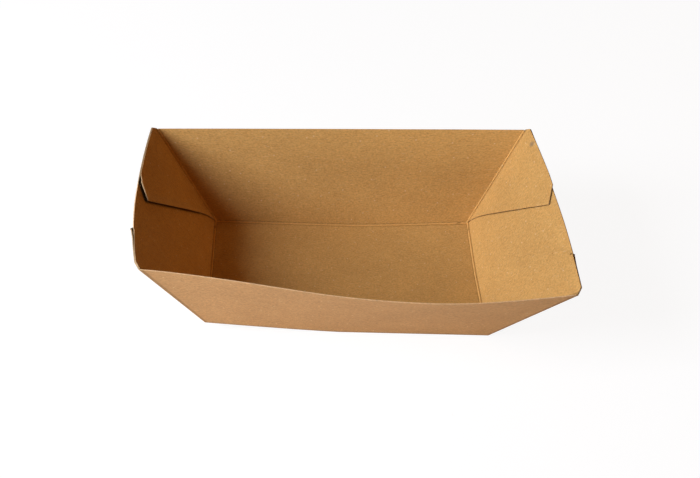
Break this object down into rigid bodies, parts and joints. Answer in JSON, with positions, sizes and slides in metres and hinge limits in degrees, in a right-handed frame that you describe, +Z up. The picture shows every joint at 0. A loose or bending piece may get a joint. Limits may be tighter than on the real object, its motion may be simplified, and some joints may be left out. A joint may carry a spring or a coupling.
{
  "type": "paper food tray",
  "caption": "Open rectangular folded board tray with outward-leaning walls, slightly higher end walls and glued corner tabs.",
  "frame": {"origin": "middle of the flat base, on the face the tray stands on", "axes": "+X along the long walls to the right, +Y from the front wall to the back wall, +Z up"},
  "size_m": [0.1968, 0.1244, 0.0532],
  "materials": {
    "board": "matt uncoated brown kraft board"
  },
  "bodies": {
    "root": {"tray": "board"}
  },
  "joints": []
}
